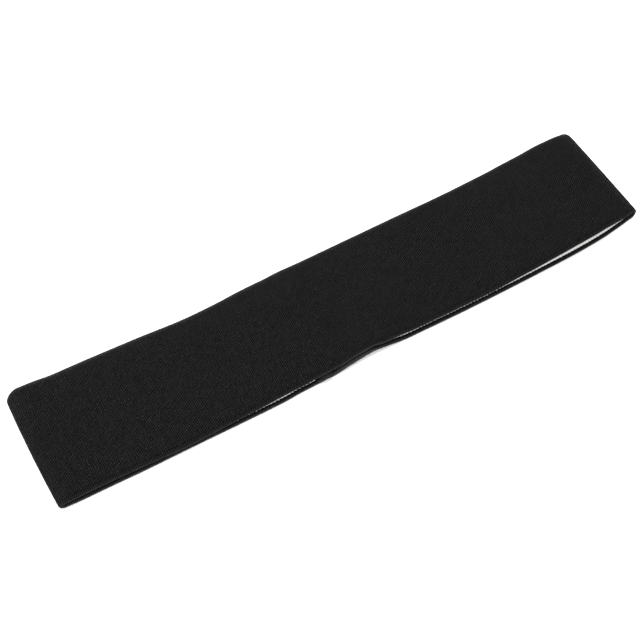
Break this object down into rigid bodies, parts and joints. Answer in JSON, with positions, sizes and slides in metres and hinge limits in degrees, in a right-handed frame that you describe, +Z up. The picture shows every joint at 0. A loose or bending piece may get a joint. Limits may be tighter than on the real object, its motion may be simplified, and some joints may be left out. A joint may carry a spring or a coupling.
{
  "type": "sweatband",
  "caption": "Knitted head sweatband lying flat: a closed two-ply loop with turned rims, a pale inner lining and a back seam.",
  "frame": {"origin": "on the surface that the band lies on, under the middle of its bounding box", "axes": "+X along the band towards its more open fold, +Y towards the far long edge, +Z up"},
  "size_m": [0.2562, 0.0532, 0.0092],
  "materials": {
    "black_knit": "matte fine knit",
    "white_knit": "matte ribbed knit",
    "black_thread": "overlocked thread"
  },
  "bodies": {
    "root": {"outer_shell": "black_knit", "lining": "white_knit", "back_seam": "black_thread"}
  },
  "joints": []
}
